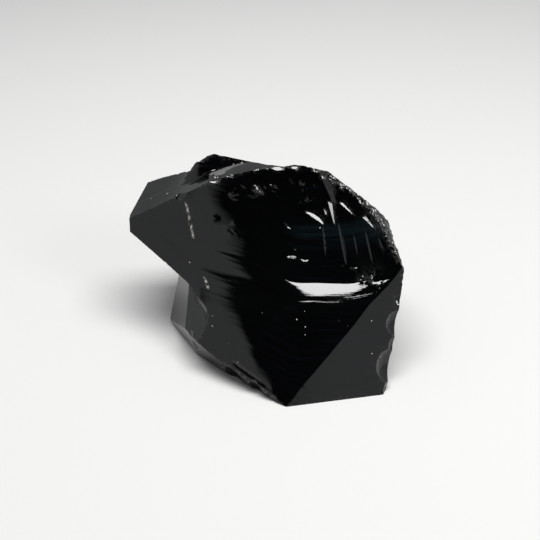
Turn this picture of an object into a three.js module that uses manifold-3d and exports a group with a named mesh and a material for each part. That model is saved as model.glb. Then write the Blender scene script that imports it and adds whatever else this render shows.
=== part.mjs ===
// Obsidian chunk: one broken lump of black volcanic glass, resting on its flat underside.
// Millimetres, +X to the right along the longest side, +Y away from the struck face, +Z up.
//
// The lump is made the way it was broken: a rough block loses one flake after another, and each
// flake leaves a scar. Every scar below is one closed cutting solid whose near side is the scar's
// own surface, so the sharp ridges are simply where two scars meet.
import * as THREE from 'three';
import { mergeVertices } from 'three/addons/utils/BufferGeometryUtils.js';
import Module from 'manifold-3d';

const wasm = await Module();
wasm.setup();

// ---------------------------------------------------------------- driving dimensions
const LENGTH = 80;          // finished size along X
const DEPTH = 66.1;         // finished size along Y
const HEIGHT = 52;          // finished size along Z
const BLOCK = 92;           // side of the rough block before any flake comes off
const REACH = 80;           // how far a cutting solid runs outwards from its scar

// The struck face: a plane leaning back from the vertical, with its own axes.
const FACE_LEAN = THREE.MathUtils.degToRad(35);
const FACE_CENTRE = new THREE.Vector3(1, 0, 22);
const FACE_SIDE = new THREE.Vector3(1, 0, 0);
const FACE_UP = new THREE.Vector3(0, Math.sin(FACE_LEAN), Math.cos(FACE_LEAN));
const FACE_OUT = new THREE.Vector3(0, -Math.cos(FACE_LEAN), Math.sin(FACE_LEAN));

// The step where the hollow upper scar ends and the ledge below it begins, as (side, up).
const STEP_LINE = [
  [-45, 25], [-34.3, 17.6], [-22.5, 8.7], [-6.3, 3.4], [3, -1.5],
  [7.5, -3.7], [22.8, -3.8], [30, -2.3], [37, 0.6], [50, 7],
];
const STEP_SOFTNESS = 1.6;  // mm over which the line is rounded
const WING_FALL = 0.27;     // slope of the left wing, away from the middle
const WING_EDGE = -19;      // side position of the soft fold into the wing
const WING_DROP = 3.5;      // how far the wing lies behind the middle
const HOLLOW_FALL = 0.27;   // slope into the hollow above the step
const HOLLOW_CURVE = 0.0075;
const HOLLOW_WIDTH_CURVE = 0.0018;
const LEDGE_SLOPE = 0.465;  // extra slope of the ledge right below the step
const GENTLE_SLOPE = 0.08;  // the same to the left of the ledge
const GENTLE_MORE = 0.09;   // and how much steeper it is some way below the step
const LEDGE_RISE = 2.9;     // how far the rolled ledge stands out below the step
const APRON_SLOPE = 0.145;  // slope of the long face below the ledge
const HIP_LINE = [-21.0, -20.1];      // a point of the face's low left border
const HIP_INWARDS = [0.548, 0.838];   // direction from that border into the face
const HIP_ROUND = 10;       // width of the rounding along that border
const RIDGE_START = [4.4, -37.1];     // straight lower right border of the face, as (side, up)
const RIDGE_END = [37.4, 0.6];
const RIDGE_REACH = 16;     // how far in the face is adjusted to keep that border straight

// The crest line along the top of the struck face, as (side, up), left end first.
const CREST_LINE = [
  [-43.5, 13.9], [-39, 16.2], [-34.5, 17.8], [-27.1, 20.8], [-18.4, 24.4], [-11.6, 26.4],
  [-5.7, 27.8], [2.3, 28.6], [8.2, 28.9], [11.8, 31.0], [16.8, 28.9], [25, 28.3],
];
const SHELF_TILT = 0.06;    // the shelf behind the crest rises this much per mm
const SHELF_END_TILT = 0.24;     // the same near the end of the wing
const WALL_CLIMB = 1.6;     // slope of the wall below the left peak, towards the back
const WALL_ALONG = 0.10;    // and towards the right

// ---------------------------------------------------------------- small helpers
const v3 = (x, y, z) => new THREE.Vector3(x, y, z);

// rounded version of max(x, 0)
const softRamp = (x, k) => 0.5 * (x + Math.sqrt(x * x + k * k));

// rounded version of max(a, b)
const softMax = (a, b, k) => b + softRamp(a - b, k);

// straight-line interpolation through sorted pairs, held flat past both ends
function along(pairs, x) {
  if (x <= pairs[0][0]) return pairs[0][1];
  for (let i = 1; i < pairs.length; i += 1) {
    const [x0, y0] = pairs[i - 1];
    const [x1, y1] = pairs[i];
    if (x <= x1) return y0 + (y1 - y0) * (x - x0) / (x1 - x0);
  }
  return pairs[pairs.length - 1][1];
}

// ---------------------------------------------------------------- the struck face
function stepLine(side) {
  const shifts = [-1, -0.5, 0, 0.5, 1];
  const total = shifts.reduce((sum, s) => sum + along(STEP_LINE, side + s * STEP_SOFTNESS), 0);
  return total / shifts.length;
}

const { smoothstep, clamp } = THREE.MathUtils;

// how far the face stands out at (side, up), before its lower right border is drawn straight
function roughFace(side, up) {
  const phi = up - stepLine(side);
  const above = Math.max(phi, 0);
  const below = Math.max(-phi, 0);
  const right = softRamp(side - 3, 5);
  const fold = WING_EDGE - 0.25 * softRamp(up - 12, 3) - side;
  const wing = WING_FALL * softRamp(fold, 5 - 2.5 * smoothstep(below, 2, 12));
  const base = 7.4 - wing + 0.04 * right + 0.0015 * right ** 2;

  const fall = HOLLOW_FALL * (0.2 + 0.8 * smoothstep(side, -24, 6));
  const sideways = HOLLOW_WIDTH_CURVE * softRamp(side - 8, 4) ** 2 * smoothstep(above, 0, 18);
  const hollow = HOLLOW_CURVE * above ** 2 - fall * above + sideways;

  const ledgeStart = 1 - 9 * smoothstep(below, 2, 8);
  const onLedge = smoothstep(side, ledgeStart, 15) * (1 - smoothstep(side, 22, 38));
  const more = GENTLE_SLOPE - 0.03 + GENTLE_MORE * smoothstep(below, 1, 10);
  const gentle = 0.03 + more * smoothstep(side, -20, -4);
  const start = gentle + (LEDGE_SLOPE - gentle) * onLedge;
  const rise = 0.01 + LEDGE_RISE * smoothstep(side, -70, 10);
  const roll = rise * Math.tanh(below * start / rise);
  const apron = 1.12 * APRON_SLOPE * smoothstep(side, -30, 12) * below;

  const inwards = (side - HIP_LINE[0]) * HIP_INWARDS[0] + (up - HIP_LINE[1]) * HIP_INWARDS[1];
  const border = 0.0075 * softRamp(HIP_ROUND - inwards, 1) ** 2;

  const lower = 6 * (1 - smoothstep(side, -20, -8)) + 20 * (1 - smoothstep(side, -31, -20));
  const nearStep = 1 - smoothstep(-phi - lower, 0, 20);
  const leftward = 1 - smoothstep(side, -24, 4);
  const drop = WING_DROP * leftward * nearStep * (1 - 0.5 * smoothstep(above, 4, 22));
  return base + hollow + roll + apron - border - drop;
}

// the rough face's excess over a straight line, at a part of the way along the ridge
const RIDGE_RUN = [RIDGE_END[0] - RIDGE_START[0], RIDGE_END[1] - RIDGE_START[1]];
function ridgeExcess(part) {
  const t = clamp(part, 0, 1);
  const at = (k) => roughFace(RIDGE_START[0] + k * RIDGE_RUN[0], RIDGE_START[1] + k * RIDGE_RUN[1]);
  return at(t) - (at(0) + t * (at(1) - at(0)));
}

// how far the face stands out at (side, up)
function faceHeight(side, up) {
  const dx = side - RIDGE_START[0];
  const dy = up - RIDGE_START[1];
  const length = Math.hypot(...RIDGE_RUN);
  const part = (dx * RIDGE_RUN[0] + dy * RIDGE_RUN[1]) / length ** 2;
  const away = (dx * RIDGE_RUN[1] - dy * RIDGE_RUN[0]) / length;
  return roughFace(side, up) - ridgeExcess(part) * smoothstep(away, -RIDGE_REACH, -1);
}

const onFace = (side, up, out = faceHeight(side, up)) => FACE_CENTRE.clone()
  .addScaledVector(FACE_SIDE, side)
  .addScaledVector(FACE_UP, up)
  .addScaledVector(FACE_OUT, out);

// ---------------------------------------------------------------- named corners
const TOE = onFace(...RIDGE_START);           // lowest front corner
const SHOULDER = onFace(...RIDGE_END);        // right end of the ledge
const HEEL = v3(34.2, -28.3, 0);              // right corner of the base
const BROW = onFace(11.8, 30.3);              // right peak
const BROW_RIGHT = onFace(34.4, 15.6);
const PEAK = v3(-14.8, 17.5, 51.0);           // left peak, behind the shelf
const DIP = v3(5.0, 13.6, 47.5);              // low point of the skyline between the peaks
const TIP = onFace(-41.7, 15.7);              // end of the left wing
const TIP_LOW = onFace(-41.5, 10.4);
const WING_LOW = onFace(-27.0, -0.9);         // middle of the wing's lower border
const NECK_LOW = onFace(-16.2, -10.2);        // where the wing joins the body
const NOTCH_BACK = v3(-25.5, -3.0, 12.0);
const NOTCH_FOLD = v3(-23.1, -5.0, 13.8);     // fold between the two sides of the notch
const HIP = onFace(-21.0, -20.1);
const HIP_BACK = v3(-30.1, 3.4, 1.3);
const NECK_BACK = v3(-27.3, 12.0, 12.1);
const SOLE_LEFT = v3(-21.0, -10.9, 0);
const SOLE_FRONT = v3(-13.4, -18.3, 0);
const BEVEL_TOP = v3(-13.0, -21.9, 5.5);      // top of the bevel along the foot
const CRUSH_TOP = onFace(14.6, 27.6);         // inner border of the crushed strip, top end
const CRUSH_MIDDLE = onFace(30.2, 14.8);
const CRUSH_END = onFace(37.0, 0.0);
const BROW_EDGE = onFace(28.6, 19.7, 5.9);    // outer border of the crushed strip
const SIDE_EDGE = onFace(36.3, 6.6, 6.2);

// outward normal of the plane through three corners, on the side of `outward`
function normalThrough(a, b, c, outward) {
  const n = b.clone().sub(a).cross(c.clone().sub(a)).normalize();
  return n.dot(outward) < 0 ? n.negate() : n;
}

// ---------------------------------------------------------------- cutting solids
function toManifold(geometry) {
  geometry.deleteAttribute('normal');
  geometry.deleteAttribute('uv');
  const welded = mergeVertices(geometry, 1e-5);
  return new wasm.Manifold(new wasm.Mesh({
    numProp: 3,
    vertProperties: Float32Array.from(welded.attributes.position.array),
    triVerts: Uint32Array.from(welded.index.array),
  }));
}

// A box whose near side is bent to `surface(a, b)` and whose far side is the same, REACH away.
function bentBox(width, height, columns, rows, outwards, surface) {
  const box = new THREE.BoxGeometry(width, height, 1, columns, rows, 1);
  const position = box.attributes.position;
  for (let i = 0; i < position.count; i += 1) {
    const point = surface(position.getX(i), position.getY(i));
    if (position.getZ(i) > 0) point.addScaledVector(outwards, REACH);
    position.setXYZ(i, point.x, point.y, point.z);
  }
  return toManifold(box);
}

// axes (a, b, out) of a scar whose middle faces `out`
function scarAxes(direction) {
  const out = direction.clone().normalize();
  const upish = Math.abs(out.z) < 0.9 ? v3(0, 0, 1) : v3(0, 1, 0);
  const a = upish.cross(out).normalize();
  const b = out.clone().cross(a);
  return [a, b, out];
}

// One flake scar: the plane through `point` facing `direction`, hollowed by `curve` per mm squared.
function flake(point, direction, curve = 0, size = 120) {
  const [a, b, out] = scarAxes(direction);
  const steps = curve === 0 ? 1 : 14;
  return bentBox(size, size, steps, steps, out, (s, t) => point.clone()
    .addScaledVector(a, s)
    .addScaledVector(b, t)
    .addScaledVector(out, curve * (s * s + t * t)));
}

// A scooped scar: two planes that meet in a rounded hollow instead of a ridge.
function scoop(point, direction, first, second, roundness) {
  const [a, b, out] = scarAxes(direction);
  return bentBox(120, 120, 24, 24, out, (s, t) => {
    const base = point.clone().addScaledVector(a, s).addScaledVector(b, t);
    const rise = ([corner, normal]) => corner.clone().sub(base).dot(normal) / out.dot(normal);
    return base.addScaledVector(out, softMax(rise(first), rise(second), roundness));
  });
}

const struckFace = bentBox(100, 96, 50, 54, FACE_OUT, (s, t) => {
  const up = t - 1 + stepLine(s);
  return onFace(s, up);
});

// the shelf behind the crest and the wall that climbs from it to the left peak
const crest = CREST_LINE.map(([side, up]) => onFace(side, up));
const crestHeight = crest.map((p) => [p.x, p.z]);
const crestBack = crest.map((p) => [p.x, p.y]);
const shelf = bentBox(78, 44, 60, 60, v3(0, 0, 1), (s, t) => {
  const x = s - 9;
  const part = (t + 22) / 44;
  const behind = 34 * part ** 1.6 - 10 * (1 - part);
  const y = along(crestBack, x) + behind;
  const tilt = SHELF_TILT + (SHELF_END_TILT - SHELF_TILT) * (1 - smoothstep(x, -34, -22));
  const ground = along(crestHeight, x) + tilt * behind + 0.01 * Math.max(-behind, 0);
  const towardsEnd = Math.max(0.977 * (y - PEAK.y) - 0.215 * (x - PEAK.x), 0);
  const climb = WALL_ALONG * (x - PEAK.x) + WALL_CLIMB * (y - PEAK.y);
  const wall = PEAK.z + climb - 2.6 * towardsEnd - 1.2 * softRamp(-21.5 - x, 0.8);
  return v3(x, y, softMax(ground, wall, 0.8));
});

// the saddle in the skyline, falling away to the back
const saddle = bentBox(100, 60, 20, 1, v3(0, 0, 1), (s, t) => {
  const x = s + DIP.x;
  const y = t + DIP.y;
  const slope = softMax(-0.28 * (x - DIP.x), 0.30 * (x - DIP.x), 0.6);
  return v3(x, y, DIP.z + slope - 0.8 * (y - DIP.y));
});

const middle = (...corners) => corners
  .reduce((sum, p) => sum.add(p), v3(0, 0, 0))
  .divideScalar(corners.length);
const dir = (x, y, z) => v3(x, y, z).normalize();
const neckSide = normalThrough(NECK_LOW, onFace(-18.6, -17.0), NOTCH_BACK, v3(-1, -1, 0));
const notchLeft = normalThrough(HIP_BACK, NECK_BACK, NOTCH_FOLD, v3(-1, 0, 0));
const behindNeck = NECK_BACK.clone().add(v3(0.34, 0.93, 0));
const backOfNeck = normalThrough(HIP_BACK, NECK_BACK, behindNeck, v3(-1, 0, 0));
const underWing = [WING_LOW, dir(-0.48, -0.05, -0.85)];

const scars = [
  struckFace,
  // right-hand facet, from the toe up to the shoulder
  flake(TOE, normalThrough(TOE, HEEL, SHOULDER, v3(0, -1, 0))),
  // the notch under the wing: two sides of the body, each in one scoop with the wing's underside
  scoop(NECK_LOW, v3(-0.78, -0.42, -0.35), [NECK_LOW, neckSide], underWing, 2.5),
  scoop(HIP_BACK, v3(-0.80, -0.20, -0.45), [HIP_BACK, notchLeft], underWing, 2.5),
  // bevel along the front of the base, and its turn round the hip
  flake(SOLE_LEFT, normalThrough(SOLE_LEFT, SOLE_FRONT, HIP, v3(-1, -1, 0))),
  flake(BEVEL_TOP, normalThrough(SOLE_FRONT, TOE, BEVEL_TOP, v3(-1, -1, 0))),
  flake(HIP, normalThrough(SOLE_LEFT, HIP, HIP_BACK, v3(-1, -1, -1)), 0, 60),
  // behind the notch
  scoop(HIP_BACK, v3(-0.85, 0.25, -0.40), [HIP_BACK, backOfNeck],
    [WING_LOW.clone().add(v3(0, 0, -1.5)), dir(-0.46, 0.10, -0.88)], 2.5),
  shelf,
  saddle,
  // end of the wing
  flake(TIP, v3(-0.88, 0.16, 0.46)),
  flake(TIP_LOW, v3(-0.97, 0.10, -0.15)),
  // back and right side of the left peak
  flake(PEAK, v3(-0.14, 0.83, 0.54)),
  flake(PEAK, v3(0.21, 0.70, 0.69)),
  // crushed strip along the top right, then the scars behind it
  flake(CRUSH_TOP, normalThrough(CRUSH_TOP, CRUSH_MIDDLE, BROW_EDGE, v3(0, 0, 1)), 0, 50),
  flake(CRUSH_END, normalThrough(CRUSH_MIDDLE, CRUSH_END, SIDE_EDGE, v3(1, 0, 0)), 0, 50),
  flake(middle(BROW, BROW_RIGHT).add(v3(0.6, 1.4, -1.2)), v3(0.60, 0.49, 0.63), 0, 90),
  flake(middle(SHOULDER, BROW_RIGHT).add(v3(0.95, 0, 0)), v3(0.95, 0.30, -0.01)),
  flake(HEEL, v3(0.97, 0.12, -0.25)),
  // back
  flake(v3(24, 17, 22), v3(0.55, 0.82, -0.10), 0.0035),
  flake(v3(-8, 25, 14), v3(-0.15, 0.97, -0.12), 0.003),
  flake(v3(-24, 26, 14), v3(-0.50, 0.83, -0.25), 0.0035),
];

// ---------------------------------------------------------------- chips along the ridges
// Each chip is a shallow bowl: a ball of `radius` whose surface dips `bite` below the ridge.
function chip(ridgePoint, outwards, radius, bite) {
  const ball = new THREE.IcosahedronGeometry(radius, 11);
  const centre = ridgePoint.clone().addScaledVector(outwards.clone().normalize(), radius - bite);
  ball.translate(centre.x, centre.y, centre.z);
  return toManifold(ball);
}

const between = (a, b, t) => a.clone().lerp(b, t);
const chips = [
  // right edge of the right-hand facet, from the base up
  chip(between(HEEL, SHOULDER, 0.06), v3(0.8, -0.55, 0), 5.5, 1.0),
  chip(between(HEEL, SHOULDER, 0.23), v3(0.35, -0.75, 0.4), 7.0, 1.9),
  chip(between(HEEL, SHOULDER, 0.40), v3(0.6, -0.7, 0.2), 3.4, 0.9),
  chip(between(HEEL, SHOULDER, 0.50), v3(0.7, -0.6, 0.2), 2.6, 0.6),
  chip(between(HEEL, SHOULDER, 0.58), v3(0.25, -0.9, 0.2), 6.0, 0.9),
  chip(between(HEEL, SHOULDER, 0.76), v3(0.1, -0.9, 0.4), 3.2, 0.3),
  // foot of the bevel
  chip(between(SOLE_FRONT, TOE, 0.20), v3(-0.4, -0.8, 0.1), 6.0, 0.5),
  chip(between(SOLE_FRONT, TOE, 0.55), v3(-0.4, -0.8, 0.1), 4.0, 0.4),
  chip(between(SOLE_LEFT, HIP, 0.5), v3(-0.8, -0.6, 0), 4.0, 0.5),
  // crest
  chip(crest[3], v3(-0.1, -0.6, 0.8), 3.6, 0.3),
  chip(between(crest[4], crest[5], 0.3), v3(0, -0.6, 0.8), 4.6, 0.3),
  chip(crest[7], v3(0, -0.5, 0.85), 6.0, 0.45),
  chip(between(crest[7], crest[8], 0.8), v3(0, -0.5, 0.85), 3.4, 0.45),
];

// ---------------------------------------------------------------- break it
const block = toManifold(new THREE.BoxGeometry(BLOCK, BLOCK, BLOCK).translate(0, 0, BLOCK / 2));
let stone = block;
for (const scar of scars) stone = stone.subtract(scar);
for (const bite of chips) stone = stone.subtract(bite);

// crumbs cut loose at the corners of the block fall away; the lump itself is the biggest piece
const lumps = stone.decompose().sort((a, b) => b.volume() - a.volume());
const broken = lumps[0].getMesh();
const geometry = new THREE.BufferGeometry();
geometry.setAttribute('position', new THREE.BufferAttribute(Float32Array.from(broken.vertProperties), 3));
geometry.setIndex(new THREE.BufferAttribute(Uint32Array.from(broken.triVerts), 1));

// bring the lump to its finished size, standing on the middle of its own outline
geometry.computeBoundingBox();
const box = geometry.boundingBox;
const size = box.getSize(v3(0, 0, 0));
const centre = box.getCenter(v3(0, 0, 0));
geometry.translate(-centre.x, -centre.y, -box.min.z);
geometry.scale(LENGTH / size.x, DEPTH / size.y, HEIGHT / size.z);
geometry.computeVertexNormals();

const glass = new THREE.MeshStandardMaterial({ color: 0x0b0d0f, roughness: 0.08, metalness: 0 });
const lump = new THREE.Mesh(geometry, glass);
lump.name = 'obsidian_chunk';

const group = new THREE.Group();
group.name = 'obsidian';
group.add(lump);

export default group;
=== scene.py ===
# %% [markdown]
# # A lump of obsidian
# Obsidian is volcanic glass: black, opaque in the lump, and as glossy as a bottle. It has no grain,
# so it breaks along smooth hollow surfaces, and the whole object is the record of those breaks.
# The lump could be sculpted by hand, but then its ridges come out soft. Here it is made the way it
# really formed: start with a rough block, knock flakes off it, and let the ridges appear by
# themselves where two flake scars meet.
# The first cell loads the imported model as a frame. The lump is worked out in millimetres of its
# own, and fitted to the frame's box near the end.

# %% Load the frame
import math

import bmesh
import bpy
import numpy as np
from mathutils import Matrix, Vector


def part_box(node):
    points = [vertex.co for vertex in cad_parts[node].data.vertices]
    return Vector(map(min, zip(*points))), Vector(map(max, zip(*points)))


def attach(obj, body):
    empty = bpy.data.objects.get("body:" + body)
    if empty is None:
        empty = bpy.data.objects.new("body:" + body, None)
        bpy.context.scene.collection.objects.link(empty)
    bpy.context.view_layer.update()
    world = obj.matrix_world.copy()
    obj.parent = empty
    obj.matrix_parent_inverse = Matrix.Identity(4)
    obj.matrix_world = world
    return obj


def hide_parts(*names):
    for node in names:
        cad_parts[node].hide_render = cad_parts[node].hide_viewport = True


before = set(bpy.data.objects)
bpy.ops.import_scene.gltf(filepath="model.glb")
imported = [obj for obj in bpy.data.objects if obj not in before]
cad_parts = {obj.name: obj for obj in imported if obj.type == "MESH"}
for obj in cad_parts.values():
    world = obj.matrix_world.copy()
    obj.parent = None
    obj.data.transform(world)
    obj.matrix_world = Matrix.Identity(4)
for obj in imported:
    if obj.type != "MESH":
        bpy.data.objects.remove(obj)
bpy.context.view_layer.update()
NODE = "obsidian_chunk"
MM = 0.001
box_low, box_high = (np.array(corner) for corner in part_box(NODE))
box_size = box_high - box_low
print("frame box, mm:", np.round(box_size / MM, 1))

# %% [markdown]
# ## Surfaces as arrays
# Each flake scar is a height above a flat grid. It could be built vertex by vertex in a loop, but
# numpy works out the whole grid at once, which is quicker and reads like the formula. Soft versions
# of max and step keep the surfaces free of accidental creases, and a lattice of random values,
# blended smoothly, gives the small unevenness that real glass has.

# %% Grid helpers
def unit(vector):
    """The vector divided by its length."""
    vector = np.asarray(vector, float)
    return vector / np.linalg.norm(vector)


def soft_ramp(x, k):
    """Rounded max(x, 0): half of x plus the root of x squared plus k squared."""
    return 0.5 * (x + np.sqrt(x * x + k * k))


def soft_max(a, b, k):
    """Rounded max(a, b): b plus the soft ramp of their difference."""
    return b + soft_ramp(a - b, k)


def smooth_step(low, high, x):
    """0 below low, 1 above high, and 3t^2 - 2t^3 between them."""
    t = np.clip((x - low) / (high - low), 0, 1)
    return t * t * (3 - 2 * t)


def grid(width, height, columns, rows):
    """Two arrays (a, b) covering width by height, centred on zero."""
    return np.meshgrid(np.linspace(-width / 2, width / 2, columns + 1),
                       np.linspace(-height / 2, height / 2, rows + 1))


def lattice_noise(x, y, seed):
    """Smooth noise from -1 to 1: random values on a unit lattice, blended by
    6t^5 - 15t^4 + 10t^3."""
    table = np.random.default_rng(seed).uniform(-1, 1, (64, 64))
    column, row = np.floor(x).astype(int), np.floor(y).astype(int)
    tx, ty = x - column, y - row
    tx, ty = tx**3 * (tx * (6 * tx - 15) + 10), ty**3 * (ty * (6 * ty - 15) + 10)
    corner = [[table[(column + i) % 64, (row + j) % 64] for j in (0, 1)] for i in (0, 1)]
    left = corner[0][0] * (1 - ty) + corner[0][1] * ty
    right = corner[1][0] * (1 - ty) + corner[1][1] * ty
    return left * (1 - tx) + right * tx


print("soft ramp at 0:", soft_ramp(0.0, 1.0), " smooth step half way:", smooth_step(0, 1, 0.5))

# %% [markdown]
# ## Closed slabs
# A boolean needs closed solids, and a scar is only a sheet. It could be thickened with a Solidify
# modifier, but that wall is as thick as it is told and bends where the sheet bends. Here the sheet
# is copied a long way outwards instead and joined to its copy by a strip round the rim, so one cut
# takes away everything that lies in front of the scar.

# %% Slabs
REACH = 80.0          # mm a cutting slab runs outwards from its scar


def bent_slab(near, outwards):
    """Closed slab: the near grid, the same grid moved REACH outwards, and a strip round the rim."""
    rows, columns, _ = near.shape
    count = rows * columns
    index = np.arange(count).reshape(rows, columns)
    corners = (index[:-1, :-1], index[:-1, 1:], index[1:, 1:], index[1:, :-1])
    top = np.stack([c.ravel() for c in corners], 1)
    rim = np.concatenate([index[0, :-1], index[:-1, -1], index[-1, :0:-1], index[:0:-1, 0]])
    after = np.roll(rim, -1)
    side = np.stack([rim, after, after + count, rim + count], 1)
    flat = near.reshape(-1, 3)
    points = np.vstack([flat, flat + np.asarray(outwards) * REACH])
    return points, np.vstack([top[:, ::-1], top + count, side]).tolist()


def scar_axes(direction):
    """Axes (a, b, out) of a scar whose middle faces `direction`."""
    out = unit(direction)
    upish = (0, 0, 1) if abs(out[2]) < 0.9 else (0, 1, 0)
    a = unit(np.cross(upish, out))
    return a, np.cross(out, a), out


print("a slab reaches", REACH, "mm; axes of a scar that faces right:", *scar_axes((1, 0, 0)))

# %% [markdown]
# ## The struck face
# The big front surface is the scar of the last large flake. It leans back, and a curved step
# crosses it: above the step the glass is hollow like a spoon, and below it a narrow ledge rolls
# over into a long apron. Near the step the ledge faces almost straight up, so it is the part that
# mirrors the lamp. All of it is one height field in the face's own axes: side, up and out.
# Sculpting would give the same forms, but in a mirror-like surface the slopes decide where each
# highlight falls, and in a formula a slope is a number that can be set.

# %% Axes and main lines of the struck face
FACE_LEAN = math.radians(35)
FACE_CENTRE = np.array([1.0, 0.0, 22.0])
FACE_SIDE = np.array([1.0, 0.0, 0.0])
FACE_UP = np.array([0.0, math.sin(FACE_LEAN), math.cos(FACE_LEAN)])
FACE_OUT = np.array([0.0, -math.cos(FACE_LEAN), math.sin(FACE_LEAN)])

STEP_LINE = np.array([(-45, 25), (-34.3, 17.6), (-22.5, 8.7), (-6.3, 3.4), (3, -1.5),
                      (7.5, -3.7), (22.8, -3.8), (30, -2.3), (37, 0.6), (50, 7)])
STEP_SOFTNESS = 1.6
LEDGE_SLOPE = 0.465     # extra slope of the ledge right below the step
LEDGE_RISE = 2.9        # mm the roll stands out in all
APRON_SLOPE = 0.1624    # slope of the apron below the ledge
WING_DROP = 3.5         # mm the wing lies further back than the middle
RIDGE = np.array([(4.4, -37.1), (37.4, 0.6)])   # straight lower right border, in side and up
HIP_LINE = (-21.0, -20.1), (0.548, 0.838)   # low left border of the face: a point and inwards
BORDER_REACH = 10       # mm inwards from that border where the face begins to round off
BORDER_BEND = 0.0075


def step_line(side):
    """Height of the step along the face: the broken line through STEP_LINE, averaged."""
    shifts = np.array([-1, -0.5, 0, 0.5, 1]) * STEP_SOFTNESS
    return sum(np.interp(side + s, *STEP_LINE.T) for s in shifts) / len(shifts)


def from_hip_line(side, up):
    """Distance inwards from the face's low left border."""
    (side_0, up_0), (across, upward) = HIP_LINE
    return (side - side_0) * across + (up - up_0) * upward


print("face leans back", math.degrees(FACE_LEAN), "degrees, step line crosses its middle at",
      float(np.round(step_line(0.0), 2)), "mm")

# %% [markdown]
# ## The parts of the face
# On the stone the face is one skin, but each part of it does a job of its own, so each gets a short
# function: the plane with its tilted wing, the hollow above the step, the roll of the ledge, and
# the drop that sets the wing back. A mesh with a few hand-placed points and Subdivision could give
# the same surface, but then a change to one part would pull on its neighbours.

# %% Parts of the struck face
FACE_LEVEL = 7.4        # mm the plane stands out beyond the face's centre
RIGHT_SLOPE = 0.04      # the plane climbs towards the right, and curves up as it goes
RIGHT_BEND = 0.0015
FOLD_SIDE = -19         # the fold where the wing begins, which leans left above FOLD_TURN
FOLD_LEAN = 0.25
FOLD_TURN = 12
WING_TILT = 0.27        # slope of the wing to the left of its fold
HOLLOW_DIP = 0.27       # slope of the hollow right above the step
HOLLOW_BEND = 0.0075    # how fast the hollow turns up again
CORNER_BEND = 0.0018    # extra turn-up in the upper right corner
FLAT_SLOPE = 0.03       # least slope right below the step


def tilted_plane(side, up, below):
    """The plane: level in the middle, climbing to the right, and tilted back left of the fold.
    The fold is sharper further below the step."""
    right = soft_ramp(side - 3, 5)
    fold = FOLD_SIDE - FOLD_LEAN * soft_ramp(up - FOLD_TURN, 3) - side
    base = FACE_LEVEL - WING_TILT * soft_ramp(fold, 5 - 2.5 * smooth_step(2, 12, below))
    return base + (RIGHT_SLOPE * right + RIGHT_BEND * right**2)


def hollow_above(side, above):
    """The hollow: bend times height squared, less dip times height. The dip is a fifth as steep on
    the wing as in the middle."""
    dip = HOLLOW_DIP * (0.2 + 0.8 * smooth_step(-24, 6, side))
    corner = CORNER_BEND * soft_ramp(side - 8, 4) ** 2 * smooth_step(0, 18, above)
    return HOLLOW_BEND * above**2 - dip * above + corner


def roll_below(side, below):
    """The rolled ledge: rise times tanh(slope times distance / rise). It starts steep in the
    middle, where the ledge is, and almost flat beside it."""
    ledge = smooth_step(-3 + 5 * smooth_step(20, 3, below), 15, side) * smooth_step(38, 22, side)
    beside = (0.05 + 0.08 * smooth_step(4, 24, below)) * smooth_step(-20, -4, side)
    gentle = FLAT_SLOPE + beside
    start = gentle + (LEDGE_SLOPE - gentle) * ledge
    rise = 0.01 + LEDGE_RISE * smooth_step(-70, 10, side)
    return rise * np.tanh(below * start / rise)


def wing_setback(side, above, below):
    """How far the wing lies back: full near the step, half high above it, nothing far below it.
    The part that is set back reaches further down towards the wing's tip."""
    low = below - above - 6 * smooth_step(-8, -20, side) - 20 * smooth_step(-20, -31, side)
    near_step = smooth_step(20, 0, low)
    return WING_DROP * smooth_step(4, -24, side) * near_step * (1 - 0.5 * smooth_step(4, 22, above))


def rough_face(side, up):
    """The face before its lower right border is drawn straight: the plane, the hollow, the roll and
    the apron added up, less the rounding at the low left border and the wing's setback."""
    above = np.maximum(up - step_line(side), 0)
    below = np.maximum(step_line(side) - up, 0)
    base, hollow = tilted_plane(side, up, below), hollow_above(side, above)
    roll, setback = roll_below(side, below), wing_setback(side, above, below)
    apron = APRON_SLOPE * smooth_step(-30, 12, side) * below
    border = BORDER_BEND * soft_ramp(BORDER_REACH - from_hip_line(side, up), 1) ** 2
    return base + hollow + roll + apron - border - setback


print("rough face at its centre stands out", float(np.round(rough_face(0.0, 0.0), 2)), "mm")

# %% [markdown]
# ## A straight border
# The lower right border of the real lump is one long straight ridge, because the flake behind it
# came off flat. The curved face would make it wavy. Cutting the border straight with one more slab
# would move it, so the face itself is corrected: what it stands out beyond a straight line along
# the ridge is taken off again, fading out towards the middle.

# %% Straight lower right border
FADE_IN = 16            # mm inwards from the ridge where the correction has faded out


def across_ridge(side, up):
    """Part of the way along the lower right border, and distance outwards from it."""
    run = RIDGE[1] - RIDGE[0]
    part = ((side - RIDGE[0, 0]) * run[0] + (up - RIDGE[0, 1]) * run[1]) / (run @ run)
    away = ((side - RIDGE[0, 0]) * run[1] - (up - RIDGE[0, 1]) * run[0]) / np.hypot(*run)
    return part, away


ridge_part = np.linspace(0, 1, 41)
ridge_at = RIDGE[0] + ridge_part[:, None] * (RIDGE[1] - RIDGE[0])
ridge_out = rough_face(*ridge_at.T)
ridge_excess = ridge_out - (ridge_out[0] + ridge_part * (ridge_out[-1] - ridge_out[0]))


def face_base(side, up):
    """How far the face stands out, without its fine relief: the rough face less its excess over a
    straight line along the ridge, an amount that fades out inwards."""
    part, away = across_ridge(side, up)
    excess = np.interp(part, ridge_part, ridge_excess)
    return rough_face(side, up) - excess * smooth_step(-FADE_IN, -1, away)


def on_face(side, up, out=None):
    """A point of the stone from its place on the struck face."""
    side, up = np.asarray(side, float), np.asarray(up, float)
    out = face_base(side, up) if out is None else np.asarray(out, float)
    return (FACE_CENTRE + side[..., None] * FACE_SIDE
            + up[..., None] * FACE_UP + out[..., None] * FACE_OUT)


print("taken off along the ridge, mm:", float(np.round(np.abs(ridge_excess).max(), 2)), "at most")

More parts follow.
